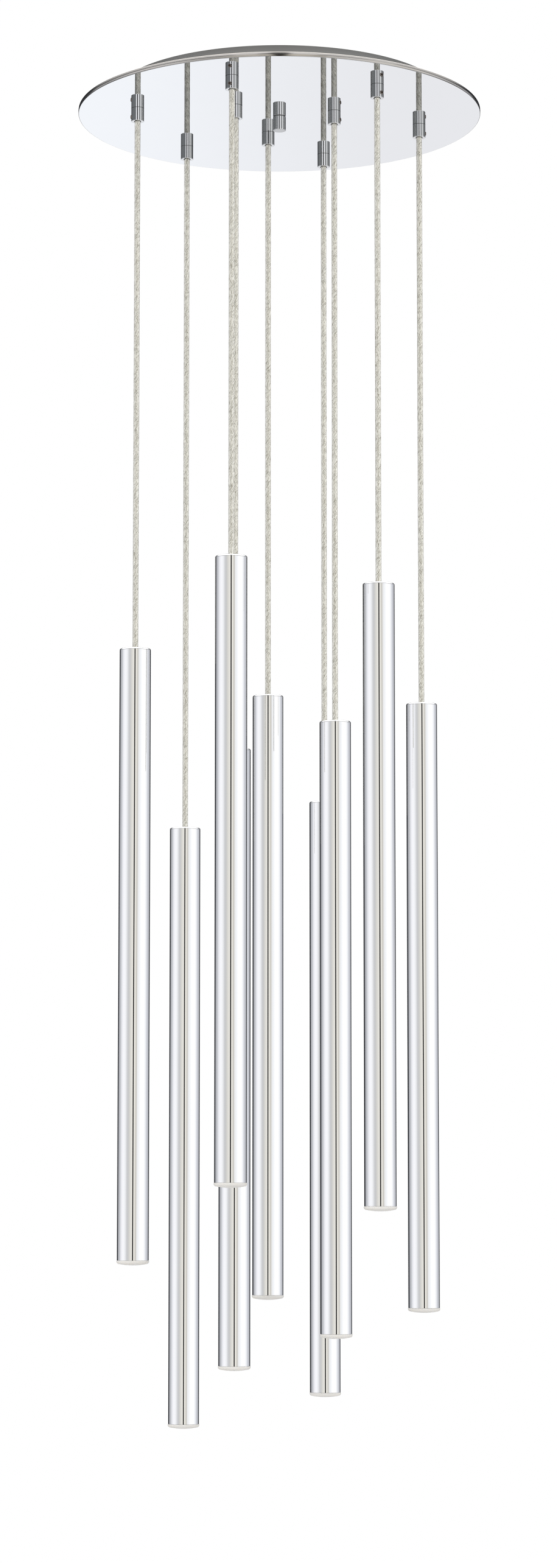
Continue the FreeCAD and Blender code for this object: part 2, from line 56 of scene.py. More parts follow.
# Sizes that repeat the part's source.
PLATE_FACE = -23.0 * MM
PLATE_BACK = -21.5 * MM
PLATE_RADIUS = 203.2 * MM
PLATE_SHEET = 1.5 * MM
RIM_HEIGHT = 4.5 * MM
PAN_RADIUS = 165.0 * MM
PAN_SHEET = 1.2 * MM
PAN_FLOOR = -20.3 * MM
OUTER_RING = 145.3 * MM
INNER_RING = 58.2 * MM
OUTER_COUNT = 6
INNER_COUNT = 3
FIRST_CORD_ANGLE = math.radians(11.4)
GRIP_END = -36.5 * MM
GRIP_RADIUS = 6.5 * MM
GRIP_BORE = 3.5 * MM
NIPPLE_RADIUS = 5.0 * MM
NIPPLE_HOLE = 5.25 * MM
NIPPLE_TOP = -14.3 * MM
SCREW_HEIGHT = -31.9 * MM
SCREW_RADIUS = 2.0 * MM
SCREW_HOLE = 2.05 * MM
SCREW_TIP_PLAY = 0.1 * MM
SCREW_PROUD = 0.6 * MM
SOCKET_DEPTH = 1.6 * MM
SOCKET_CORNERS = 1.155 * MM
TAIL_SPARE = 3.0 * MM
CORD_RADIUS = 2.9 * MM
FINIAL_RADIUS = 6.5 * MM
FINIAL_LENGTH = 14.5 * MM
FINIAL_BORE = 3.05 * MM
FINIAL_THREAD = 10.0 * MM
NECK_RADIUS = 6.1 * MM
NECK_HEIGHT = 0.6 * MM
ROD_RADIUS = 3.0 * MM
ROD_HOLE = 3.6 * MM
ROD_FOOT = -32.0 * MM
TUBE_RADIUS = 15.5 * MM
TUBE_BORE = 14.3 * MM
PLUG_RADIUS = 14.15 * MM
LIGHT_LENGTH = 600.0 * MM
CAP_FLANGE = 1.7 * MM
CAP_PLUG = 14.0 * MM
CAP_BORE = 3.2 * MM
CAP_BORE_DEPTH = 11.0 * MM
LEAD_RADIUS = 1.5 * MM
LENS_RADIUS = 15.85 * MM
LENS_RIM = 2.8 * MM
LENS_RISE = 1.85 * MM
LENS_WELL = 12.35 * MM
LENS_WELL_RISE = 3.25 * MM
LENS_PLUG = 7.0 * MM
DROPS = [1196, 1283, 1313, 1149, 1075, 1097, 1184, 1250, 1220]
SHORTEST_CORD = 161.0 * MM


def cord_spots():
    """Number, x, y, outward angle and drop of each cord: six on the outer ring, then three on the inner."""
    spots = []
    for index, drop in enumerate(DROPS):
        outer = index < OUTER_COUNT
        ring = OUTER_RING if outer else INNER_RING
        step = TURN / OUTER_COUNT * index if outer else TURN / 4 + TURN / INNER_COUNT * (index - OUTER_COUNT)
        angle = FIRST_CORD_ANGLE + step
        spots.append((index + 1, ring * math.cos(angle), ring * math.sin(angle), angle, drop * MM))
    return spots


SPOTS = cord_spots()


# Camera

CAMERA_PLACE = (-0.0009, -3.751, -1.131)
CAMERA_TILT = math.radians(96.51)
SENSOR_WIDTH = 36
FOCAL_LENGTH = 87.34

camera = bpy.data.objects.new("camera", bpy.data.cameras.new("camera"))
scene.collection.objects.link(camera)
camera.location = CAMERA_PLACE
camera.rotation_euler = (CAMERA_TILT, 0, 0)
camera.data.sensor_width = SENSOR_WIDTH
camera.data.lens = FOCAL_LENGTH
scene.camera = camera
scene.view_settings.view_transform = "Standard"


# Shader maths

class Value:
    """A shader socket that adds a Math node for each sum, difference, product or quotient."""

    def __init__(self, graph, socket):
        self.graph = graph
        self.socket = socket

    def math(self, operation, *others):
        return self.graph.add("ShaderNodeMath", {"operation": operation}, dict(enumerate((self, *others))))

    def __add__(self, other):
        return self.math("ADD", other)

    __radd__ = __add__

    def __sub__(self, other):
        return self.math("SUBTRACT", other)

    def __rsub__(self, other):
        return self.graph.add("ShaderNodeMath", {"operation": "SUBTRACT"}, {0: other, 1: self})

    def __mul__(self, other):
        return self.math("MULTIPLY", other)

    __rmul__ = __mul__

    def __truediv__(self, other):
        return self.math("DIVIDE", other)

    def __neg__(self):
        return self * -1

    def step(self, low, high):
        """0 below low, 1 above high, and a smooth rise between them."""
        settings = {"interpolation_type": "SMOOTHSTEP"}
        return self.graph.add("ShaderNodeMapRange", settings, {"Value": self, "From Min": low, "From Max": high})


class Graph:
    """The nodes of one material or of the world."""

    def __init__(self, owner):
        owner.use_nodes = True
        self.tree = owner.node_tree
        self.tree.nodes.clear()

    def add(self, kind, settings=None, sockets=None, output=0):
        """Add a node: first its settings, then its sockets' values or links. Returns one output as a Value."""
        node = self.tree.nodes.new(kind)
        for name, setting in (settings or {}).items():
            if name == "stops":
                self.set_stops(node.color_ramp, setting)
            else:
                setattr(node, name, setting)
        for name, given in (sockets or {}).items():
            socket = node.inputs[name]
            if isinstance(given, Value):
                self.tree.links.new(given.socket, socket)
            elif socket.type == "RGBA":
                socket.default_value = (*given, 1)
            else:
                socket.default_value = given
        return Value(self, node.outputs[output]) if len(node.outputs) else node

    @staticmethod
    def set_stops(ramp, stops):
        """Give a colour ramp its stops, each a (place, colour) pair."""
        while len(ramp.elements) > 1:
            ramp.elements.remove(ramp.elements[0])
        for index, (place, colour) in enumerate(stops):
            element = ramp.elements[0] if index == 0 else ramp.elements.new(place)
            element.position = place
            element.color = (*colour, 1)

    def mix(self, factor, first, second):
        """A colour between two colours."""
        settings = {"data_type": "RGBA", "clamp_factor": True}
        return self.add("ShaderNodeMix", settings, {0: factor, 6: first, 7: second}, output=2)

    def noise(self, vector, scale, detail=2.0, roughness=0.5):
        return self.add("ShaderNodeTexNoise", {}, {
            "Vector": vector, "Scale": scale, "Detail": detail, "Roughness": roughness,
        })

    def grain(self, vector, factors, detail, roughness=0.5):
        """Noise stretched by one factor for each axis."""
        stretched = self.add("ShaderNodeVectorMath", {"operation": "MULTIPLY"}, {0: vector, 1: factors})
        return self.noise(stretched, 1.0, detail, roughness)

    def axes(self, vector):
        """The x, y and z of a vector."""
        return [self.add("ShaderNodeSeparateXYZ", {}, {0: vector}, output=index) for index in range(3)]

    def amount(self, name):
        """An amount that a piece stores at its points."""
        return self.add("ShaderNodeAttribute", {"attribute_name": name}, output="Fac")

    def bump(self, height, strength, distance):
        return self.add("ShaderNodeBump", {}, {"Height": height, "Strength": strength, "Distance": distance})


def linear(*display):
    """Scene values of a colour given as it shows on a display, 0 to 255."""
    shares = np.array(display) / 255
    return tuple(np.where(shares <= 0.04045, shares / 12.92, ((shares + 0.055) / 1.055) ** 2.4))


# Studio

# What stands round the object at the height of the tubes, by degrees from the camera's side, right positive:
# a narrow dark gap at the camera, warm cards beside it, and white screens that fade towards a dark back.
TUBE_LEVEL = [
    (-180, (52, 54, 58)), (-143, (66, 68, 72)), (-134, (96, 98, 102)), (-125, (185, 186, 191)),
    (-114, (182, 184, 189)), (-106, (203, 205, 209)), (-92, (233, 234, 239)), (-80, (246, 246, 250)),
    (-68, (246, 247, 250)), (-57, (236, 237, 240)), (-47, (213, 214, 216)), (-40, (200, 201, 203)),
    (-32, (202, 202, 201)), (-23, (214, 213, 208)), (-14, (225, 223, 217)), (-4.4, (230, 228, 221)),
    (-3.5, (18, 18, 20)), (4.0, (18, 18, 20)), (4.8, (237, 234, 227)), (10, (227, 225, 217)),
    (17, (220, 217, 210)), (20, (199, 196, 189)), (24, (199, 197, 191)), (26.5, (230, 230, 229)),
    (42, (243, 245, 248)), (54, (255, 255, 255)), (84, (255, 255, 255)), (99, (236, 238, 242)),
    (112, (206, 208, 214)), (136, (182, 184, 190)), (145, (72, 74, 78)), (180, (52, 54, 58)),
]
# What stands higher than that, as the grips and the plate's rim show it: one white screen on each side of a
# dark gap, grey walls, and a dark back.
GRIP_LEVEL = [
    (-180, (44, 46, 50)), (-138, (50, 53, 57)), (-122, (86, 88, 89)), (-106, (99, 102, 104)),
    (-84, (107, 110, 112)), (-45, (105, 108, 110)), (-33, (112, 115, 117)), (-27, (140, 142, 142)),
    (-24, (236, 238, 241)), (-12.5, (240, 241, 244)), (-11, (30, 30, 32)), (6.0, (30, 30, 32)),
    (7.5, (250, 251, 253)), (21, (250, 251, 253)), (23, (133, 135, 136)),
    (38, (142, 144, 145)), (50, (168, 170, 171)), (57, (214, 216, 216)), (67, (222, 224, 224)),
    (72, (142, 144, 145)), (84, (140, 142, 143)), (100, (140, 142, 143)), (114, (120, 122, 123)),
    (122, (50, 52, 56)), (180, (44, 46, 50)),
]
SCREEN = linear(250, 251, 255)
OVERHEAD = (2.4, 2.4, 2.34)
BACK_HIGH = linear(62, 62, 64)
BACK_TOP = linear(196, 197, 200)
LOW_BACK_LEFT = linear(236, 239, 243)
LOW_BACK_RIGHT = linear(224, 225, 228)
GROUND = linear(84, 82, 79)
WHITE = (1.0, 1.0, 1.0)
SOFT_LEVEL = 0.92
SHINE_LEVEL = 1.15

# Where one part of the studio fades into the next: degrees above the horizon, below it, or round the object
# from the camera's side.
GRIPS_ABOVE = (15.0, 15.6)
SCREEN_ABOVE = (18.2, 22)
OVERHEAD_ABOVE = (24, 34)
BACK_TOP_ABOVE = (60, 76)
FLOOR_BACK_BELOW = (13.4, 14.8)
GROUND_BELOW = (26, 34)
NADIR_BELOW = (34, 42)
CAMERA_GAP = (3, 9)
BACK_ROUND = (122, 140)
BEHIND_ROUND = (150, 162)
LOW_BACK_SEAM = (-0.06, 0.04)
# How many degrees higher the screen starts over the dark gap, and the low back starts behind the object.
GAP_LIFT = 4
BEHIND_LIFT = 8


def studio_stops(rows):
    """Ramp stops from rows of (degrees round the object, display colour), for a ramp over a full turn."""
    return [((degrees + 180) / 360, linear(*colour)) for degrees, colour in rows]


def make_studio():
    """World: white behind the object, plain soft light on it, and the screens for whatever is polished."""
    world = bpy.data.worlds.new("studio")
    scene.world = world
    graph = Graph(world)
    direction = graph.add("ShaderNodeTexCoord", output="Generated")
    x, y, z = graph.axes(direction)
    around = x.math("ARCTAN2", -y) * (180 / math.pi)
    height = z.math("ARCSINE") * (180 / math.pi)
    aside = around.math("ABSOLUTE")
    place = around / 360 + 0.5
    tube_level = graph.add("ShaderNodeValToRGB", {"stops": studio_stops(TUBE_LEVEL)}, {0: place})
    grip_level = graph.add("ShaderNodeValToRGB", {"stops": studio_stops(GRIP_LEVEL)}, {0: place})
    behind = aside.step(*BEHIND_ROUND)
    low_back = graph.mix(x.step(*LOW_BACK_SEAM), LOW_BACK_LEFT, LOW_BACK_RIGHT)
    low = graph.mix(behind, grip_level, low_back)
    low = graph.mix((-height).step(*GROUND_BELOW), low, GROUND)
    seen = graph.mix(height.step(*GRIPS_ABOVE), tube_level, grip_level)
    back = aside.step(*BACK_ROUND)
    gap = 1 - aside.step(*CAMERA_GAP)
    screen = graph.mix(back, SCREEN, BACK_HIGH)
    seen = graph.mix((height - gap * GAP_LIFT).step(*SCREEN_ABOVE), seen, screen)
    overhead = graph.mix(back * (1 - height.step(*BACK_TOP_ABOVE)), OVERHEAD, BACK_TOP)
    seen = graph.mix(height.step(*OVERHEAD_ABOVE), seen, overhead)
    seen = graph.mix((behind * BEHIND_LIFT - height).step(*FLOOR_BACK_BELOW), seen, low)
    seen = graph.mix((-height).step(*NADIR_BELOW), seen, tube_level)
    camera_ray, glossy_ray, through_ray = (graph.add("ShaderNodeLightPath", output=name) for name in (
        "Is Camera Ray", "Is Glossy Ray", "Is Transmission Ray",
    ))
    shiny = glossy_ray.math("MAXIMUM", through_ray)
    soft = graph.add("ShaderNodeBackground", {}, {"Color": WHITE, "Strength": SOFT_LEVEL})
    screens = graph.add("ShaderNodeBackground", {}, {"Color": seen, "Strength": SHINE_LEVEL})
    white = graph.add("ShaderNodeBackground", {}, {"Color": WHITE, "Strength": 1.0})
    lit = graph.add("ShaderNodeMixShader", {}, {0: shiny, 1: soft, 2: screens})
    shown = graph.add("ShaderNodeMixShader", {}, {0: camera_ray, 1: lit, 2: white})
    graph.add("ShaderNodeOutputWorld", {}, {"Surface": shown})


LAMP_PLACE = (-0.7, -1.6, 1.5)
LAMP_TILT = math.radians(38)
LAMP_TURN = math.radians(-22)
LAMP_WIDTH = 1.6
LAMP_POWER = 14


def make_lamp():
    """A wide soft lamp above and in front, which gives the floor's shadow and some shape to matt pieces."""
    lamp = bpy.data.lights.new("soft_lamp", "AREA")
    lamp.shape = "DISK"
    lamp.size = LAMP_WIDTH
    lamp.energy = LAMP_POWER
    holder = bpy.data.objects.new("soft_lamp", lamp)
    scene.collection.objects.link(holder)
    holder.location = LAMP_PLACE
    holder.rotation_euler = (LAMP_TILT, 0, LAMP_TURN)
    holder.visible_glossy = False
    holder.visible_transmission = False


# Surfaces. A shape is its points, the corners of all its faces in one row, and each face's number of corners.

def link_mesh(name, shape):
    """A mesh object at the origin, made from a shape's arrays."""
    points, corners, sizes = shape
    mesh = bpy.data.meshes.new(name)
    mesh.vertices.add(len(points))
    mesh.vertices.foreach_set("co", points.astype(np.float32).ravel())
    mesh.loops.add(len(corners))
    mesh.polygons.add(len(sizes))
    mesh.polygons.foreach_set("loop_start", (np.cumsum(sizes) - sizes).astype(np.int32))
    mesh.polygons.foreach_set("vertices", corners.astype(np.int32))
    mesh.shade_flat()
    mesh.update(calc_edges=True)
    piece = bpy.data.objects.new(name, mesh)
    scene.collection.objects.link(piece)
    return piece


def shape_of(piece):
    """The shape of a piece."""
    mesh = piece.data
    points = np.zeros(len(mesh.vertices) * 3)
    corners = np.zeros(len(mesh.loops), np.int32)
    sizes = np.zeros(len(mesh.polygons), np.int32)
    mesh.vertices.foreach_get("co", points)
    mesh.loops.foreach_get("vertex_index", corners)
    mesh.polygons.foreach_get("loop_total", sizes)
    return points.reshape(-1, 3), corners, sizes


def joined(shapes):
    """Several shapes as one: the corners of each count on from the points before it."""
    points, corners, sizes = zip(*shapes)
    starts = np.cumsum([0] + [len(rows) for rows in points[:-1]])
    return (
        np.concatenate(points),
        np.concatenate([numbers + start for numbers, start in zip(corners, starts)]),
        np.concatenate(sizes),
    )


def moved(shape, offset):
    """A shape shifted by x, y and z."""
    points, corners, sizes = shape
    return points + offset, corners, sizes


def on_its_side(shape, height):
    """A shape turned about the vertical, laid along +X at a height: (x, y, z) becomes (z, y, height - x)."""
    points, corners, sizes = shape
    return np.stack([points[:, 2], points[:, 1], height - points[:, 0]], -1), corners, sizes


def at_each_cord(shape, height=0.0):
    """A shape repeated at the nine cords, its +X turned outwards there, and raised by a height."""
    points, corners, sizes = shape
    copies = []
    for _, x, y, angle, _ in SPOTS:
        spin = np.array([[math.cos(angle), math.sin(angle), 0], [-math.sin(angle), math.cos(angle), 0], [0, 0, 1]])
        copies.append((points @ spin + np.array([x, y, height]), corners, sizes))
    return joined(copies)


def skin(rings, ends=None, downwards=False):
    """A surface through closed rings of points, from the lowest ring up.

    Quads join each point of a ring to the next point and to the next ring. With two end points a fan
    closes the first ring and the last. Without them the last ring joins the first, as on a tube's wall.
    Rings that run downwards have the corners of their faces reversed, so that the faces still point out.
    """
    rows, columns = rings.shape[:2]
    points = rings.reshape(-1, 3)
    row = np.arange(rows if ends is None else rows - 1)[:, None]
    column = np.arange(columns)
    after = (column + 1) % columns
    above = (row + 1) % rows
    quads = np.stack(np.broadcast_arrays(
        row * columns + column, row * columns + after, above * columns + after, above * columns + column,
    ), -1).reshape(-1, 4)
    fans = np.zeros((0, 3), int)
    if ends is not None:
        last = (rows - 1) * columns
        centre = np.full(columns, len(points))
        fans = np.concatenate([
            np.stack([after, column, centre], -1), np.stack([last + column, last + after, centre + 1], -1),
        ])
        points = np.concatenate([points, ends])
    if downwards:
        quads, fans = quads[:, ::-1], fans[:, ::-1]
    corners = np.concatenate([quads.ravel(), fans.ravel()])
    return points, corners, np.repeat([4, 3], [len(quads), len(fans)])


def turned(profile, around=96):
    """A turned solid: each profile point (r, z) is carried round to (r cos t, r sin t, z).

    A profile that starts and ends on the axis is closed by a fan at each end. Any other profile is a
    closed loop, as of a tube's wall. It runs so that the solid lies on its left, which turns faces outwards.
    """
    ends = None
    if profile[0, 0] == 0 and profile[-1, 0] == 0:
        ends = np.array([[0, 0, profile[0, 1]], [0, 0, profile[-1, 1]]])
        profile = profile[1:-1]
    angle = np.arange(around) * TURN / around
    radius = profile[:, :1]
    rings = np.stack(np.broadcast_arrays(radius * np.cos(angle), radius * np.sin(angle), profile[:, 1:]), -1)
    return skin(rings, ends)


def rounded(corners, steps=5, lead=0.02 * MM):
    """Profile through corners of (radius, height, rounding).

    Each corner with a rounding becomes an arc tangent to both of its runs: centre on the bisector, swept
    between the two tangent points. A point a little before and after each arc keeps the flat runs flat.
    """
    plan = np.array([corner[:2] for corner in corners], float)
    points = []
    for index, corner in enumerate(corners):
        here = plan[index]
        radius = corner[2] if len(corner) > 2 else 0
        if index in (0, len(corners) - 1) or radius == 0:
            points.append(here)
            continue
        back = plan[index - 1] - here
        ahead = plan[index + 1] - here
        back /= np.linalg.norm(back)
        ahead /= np.linalg.norm(ahead)
        half = math.acos(np.clip(back @ ahead, -1, 1)) / 2
        reach = radius / math.tan(half)
        bisector = (back + ahead) / np.linalg.norm(back + ahead)
        centre = here + bisector * radius / math.sin(half)
        start = here + back * reach
        stop = here + ahead * reach
        first = start - centre
        last = stop - centre
        angle = math.acos(np.clip(first @ last / radius ** 2, -1, 1))
        turn = np.linspace(0, 1, steps + 1)[:, None]
        arc = (np.sin((1 - turn) * angle) * first + np.sin(turn * angle) * last) / math.sin(angle)
        points += [start + back * lead, *(centre + arc), stop + ahead * lead]
    return np.array(points)


def dome(radius, rise, rim, across):
    """Profile of a shallow dome that hangs below its rim: z = rim - rise + R - sqrt(R^2 - r^2).

    R is the radius of the sphere through the rim's circle and the dome's foot.
    """
    sphere = (radius ** 2 + rise ** 2) / (2 * rise)
    return np.c_[across, rim - rise + sphere - np.sqrt(sphere ** 2 - across ** 2)]


def drum(radius, low, high, around=48):
    """A plain closed cylinder, for cutting."""
    return turned(np.array([(0, low), (radius, low), (radius, high), (0, high)]), around)


def cut_away(piece, shape):
    """Cut a shape's volume out of a piece for good."""
    tool = link_mesh("cutter", shape)
    modifier = piece.modifiers.new("cut", "BOOLEAN")
    modifier.operation = "DIFFERENCE"
    modifier.solver = "EXACT"
    modifier.object = tool
    bpy.context.view_layer.update()
    cut = bpy.data.meshes.new_from_object(piece.evaluated_get(bpy.context.evaluated_depsgraph_get()))
    piece.modifiers.clear()
    piece.data = cut
    bpy.data.objects.remove(tool)


def cut_thread(points, radius, low, high, pitch=1.0 * MM, depth=0.3 * MM):
    """Cut a screw thread into rows of points: r = R - depth |2 frac(z / pitch - angle / turn) - 1|.

    The groove fades out at both ends. Only points at the given radius move.
    """
    across = np.hypot(points[:, 0], points[:, 1])
    share = (points[:, 2] / pitch - np.arctan2(points[:, 1], points[:, 0]) / TURN) % 1
    fade = np.clip(np.minimum(points[:, 2] - low, high - points[:, 2]) / pitch, 0, 1)
    cut = depth * np.abs(2 * share - 1) * fade * (np.abs(across - radius) < 0.001 * MM)
    points[:, :2] *= (1 - cut / np.maximum(across, MM))[:, None]


def thread_rows(radius, low, high, spacing=0.125 * MM):
    """Profile points close enough together to carry a thread."""
    return [(radius, height) for height in np.linspace(low, high, int((high - low) / spacing) + 1)]


def near(heights, level, full, fade):
    """1 within a distance of a level, then falling to 0 over the fade."""
    return np.clip(1 - (np.abs(heights - level) - full) / fade, 0, 1)


def mark(piece, name, amounts):
    """Store an amount from 0 to 1 at each point of a piece, for its finish to read."""
    attribute = piece.data.attributes.new(name, "FLOAT", "POINT")
    attribute.data.foreach_set("value", np.clip(amounts, 0, 1).astype(np.float32))


def mark_strands(piece, space):
    """Store at each point of a cord where it lies among the strands."""
    attribute = piece.data.attributes.new("strand_space", "FLOAT_VECTOR", "POINT")
    attribute.data.foreach_set("vector", space.astype(np.float32).ravel())


def finish_piece(piece, material, body, slot, *stands_for, sharp=35):
    """Shade a piece, keep edges steeper than an angle sharp, give it its material, hang it on its body and hide
    the frame's solids it stands for.
    """
    mesh = piece.data
    mesh.shade_smooth()
    mesh.set_sharp_from_angle(angle=math.radians(sharp))
    mesh.materials.clear()
    mesh.materials.append(material)
    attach(piece, body)
    if stands_for:
        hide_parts(*stands_for)
    return piece


# Finishes

# The colour that the shade attribute mixes in: painted shade in seams, holes, grooves and at contacts, and a
# darker, duller tone on the plate's back and on turned end faces.
SHADE_AND_DULL_TONE = (0.028, 0.026, 0.025)
EDGE_TONE = (0.5, 0.475, 0.445)
EDGE_HAZE = 0.12
SEAM_HAZE = 0.2
BACK_SHADE = 0.35
GRAIN_DEPTH = 0.03 * MM
MOULD_DEPTH = 0.04 * MM
STRANDS = 12
WIRE_RELIEF = 0.09 * MM
WIRE_LEAN = 0.09
WIRE_STRETCH = (6.0, 6.0, 230.0)
HAIR_STRETCH = (12.0, 12.0, 520.0)
TONE_STRETCH = (1.2, 1.2, 30.0)


def new_finish(name):
    """A new material, its graph and its Object coordinates."""
    material = bpy.data.materials.new(name)
    graph = Graph(material)
    return material, graph, graph.add("ShaderNodeTexCoord", output="Object")


def close_finish(material, graph, sockets):
    """Give a material its Principled surface."""
    surface = graph.add("ShaderNodeBsdfPrincipled", {}, sockets)
    graph.add("ShaderNodeOutputMaterial", {}, {"Surface": surface})
    return material


def darker(colour, share):
    """A colour multiplied by a share."""
    return tuple(np.array(colour) * share)


def polished_metal(name, colour, smooth, haze, stretch):
    """Mirror-bright plating: a roughness between two levels that follows fine polishing lines.

    The shade attribute paints shade into seams, holes and grooves and makes the plate's back and turned end faces
    darker and duller, and the edge attribute makes it warmer and softer on a rim.
    """
    material, graph, place = new_finish(name)
    lines = graph.grain(place, stretch, 3.0, 0.6)
    clouds = graph.noise(place, 22.0)
    wear = lines * 0.6 + clouds * 0.4
    shade = graph.amount("shade")
    edge = graph.amount("edge")
    tint = graph.mix(edge, graph.mix(clouds, darker(colour, 0.985), colour), EDGE_TONE)
    return close_finish(material, graph, {
        "Base Color": graph.mix(shade, tint, SHADE_AND_DULL_TONE),
        "Metallic": 1.0,
        "Roughness": wear * (haze - smooth) + smooth + shade * SEAM_HAZE + edge * EDGE_HAZE,
    })


def satin_metal(name, colour, rough, stretch, relief):
    """Satin or plated metal: fine grain in colour, roughness and relief, with painted shade where the shade
    attribute says so.
    """
    material, graph, place = new_finish(name)
    fine = graph.grain(place, stretch, 4.0, 0.65)
    blotch = graph.noise(place, 45.0, 3.0)
    tint = graph.mix(fine * 0.6 + blotch * 0.4, darker(colour, 0.82), colour)
    return close_finish(material, graph, {
        "Base Color": graph.mix(graph.amount("shade"), tint, SHADE_AND_DULL_TONE),
        "Metallic": 1.0,
        "Roughness": fine * 0.16 + blotch * 0.08 + (rough - 0.12),
        "Normal": graph.bump(fine, relief, GRAIN_DEPTH),
    })


def matt_plastic(name, colour, rough, grain=2600.0, relief=0.25):
    """Moulded plastic or enamel: a fine grain and a slight unevenness of colour."""
    material, graph, place = new_finish(name)
    fine = graph.noise(place, grain)
    blotch = graph.noise(place, 60.0, 3.0)
    return close_finish(material, graph, {
        "Base Color": graph.mix(blotch, darker(colour, 0.93), colour),
        "Roughness": fine * 0.12 + (rough - 0.06),
        "Normal": graph.bump(fine, relief, MOULD_DEPTH),
    })


def frosted_glass(name):
    """Frosted warm white lens: a fine etched grain over faint clouds, with a little light passing through."""
    material, graph, place = new_finish(name)
    etched = graph.noise(place, 4200.0)
    clouds = graph.noise(place, 90.0, 3.0)
    return close_finish(material, graph, {
        "Base Color": graph.mix(clouds, linear(238, 234, 228), linear(246, 243, 238)),
        "Roughness": etched * 0.1 + 0.38,
        "Normal": graph.bump(etched, 0.2, GRAIN_DEPTH),
        "Subsurface Weight": 0.15,
        "Subsurface Radius": (0.004, 0.0036, 0.003),
        "Subsurface Scale": 1.0,
    })


def strand_cord(name):
    """Twisted silver strands in a clear jacket, painted along the strand_space attribute.

    In that space x and y turn with the strands and z runs down the cord, so stretched noise makes streaks
    that follow each strand. Light streaks in the base colour are painted highlights on the wires and dark
    ones painted shade between them, the strands' grooves get painted shade, and every wire's upper end
    stands proud.
    """
    material, graph, _ = new_finish(name)
    space = graph.add("ShaderNodeAttribute", {"attribute_name": "strand_space"}, output="Vector")
    wires = graph.grain(space, WIRE_STRETCH, 2.0, 0.55)
    fine = graph.grain(space, HAIR_STRETCH, 2.0)
    tone = graph.grain(space, TONE_STRETCH, 1.0)
    # Light tone: painted highlights on the wires; dark tone: painted shade in the gaps between them.
    light = graph.mix(tone, linear(255, 254, 247), linear(255, 252, 241))
    dark = graph.mix(tone, linear(171, 170, 158), linear(179, 172, 156))
    x, y, run = graph.axes(space)
    # Painted shade in the grooves between strands: the crowns are lifted towards the light tone.
    crown = (y.math("ARCTAN2", x) * (STRANDS / 2)).math("COSINE").math("ABSOLUTE")
    hair = wires * 0.55 + fine * 0.45
    share = (hair + crown.step(0, 0.6) * 0.1).step(0.5, 0.6)
    return close_finish(material, graph, {
        "Base Color": graph.mix(share, dark, light),
        "Metallic": 1.0,
        "Roughness": 0.4 - share * 0.04,
        "Normal": graph.bump(hair * WIRE_RELIEF - run * WIRE_LEAN, 1.0, 1.0),
        "Anisotropic": 0.95,
        "Coat Weight": 0.1,
        "Coat Roughness": 0.25,
    })


MIRROR = polished_metal("mirror_plate_finish", (0.92, 0.92, 0.93), 0.004, 0.012, (5.0, 5.0, 5.0))
CHROME = polished_metal("polished_chrome_finish", (0.88, 0.88, 0.885), 0.015, 0.05, (900.0, 900.0, 12.0))
GRIP_CHROME = polished_metal("grip_chrome_finish", (0.88, 0.88, 0.885), 0.02, 0.06, (700.0, 700.0, 60.0))
PAN_METAL = satin_metal("pan_satin_finish", (0.3, 0.3, 0.295), 0.5, (60.0, 60.0, 2600.0), 0.15)
ZINC = satin_metal("zinc_finish", (0.66, 0.66, 0.67), 0.36, (700.0, 700.0, 700.0), 0.3)
BARE_METAL = satin_metal("machined_aluminium_finish", (0.78, 0.78, 0.79), 0.34, (300.0, 300.0, 2400.0), 0.25)
DARK_STEEL = satin_metal("blackened_screw_finish", (0.3, 0.265, 0.24), 0.28, (1800.0, 1800.0, 1800.0), 0.3)
CORD_SKIN = strand_cord("silver_strand_cord_finish")
LENS = frosted_glass("frosted_lens_finish")
PLASTIC = matt_plastic("white_plastic_finish", (0.84, 0.84, 0.82), 0.45)
ENAMEL = matt_plastic("green_enamel_finish", (0.1, 0.42, 0.18), 0.3, 900.0, 0.15)


# Cords

STRAND_RELIEF = 0.03
TWIST_PITCH = 48.0 * MM
CORD_STEPS = 8
ROUTE_STEPS = 220
PATTERN_SHIFT = 3.7


def route_points(name, stops):
    """Points read from a smooth NURBS line through a route's stops."""
    line = bpy.data.curves.new(name, "CURVE")
    line.dimensions = "3D"
    spline = line.splines.new("NURBS")
    spline.points.add(len(stops) - 1)
    spline.points.foreach_set("co", np.c_[stops, np.ones(len(stops))].ravel())
    spline.order_u = 3
    spline.use_endpoint_u = True
    spline.resolution_u = ROUTE_STEPS
    holder = bpy.data.objects.new(name, line)
    mesh = bpy.data.meshes.new_from_object(holder)
    points = np.zeros(len(mesh.vertices) * 3)
    mesh.vertices.foreach_get("co", points)
    bpy.data.objects.remove(holder)
    bpy.data.meshes.remove(mesh)
    return points.reshape(-1, 3)


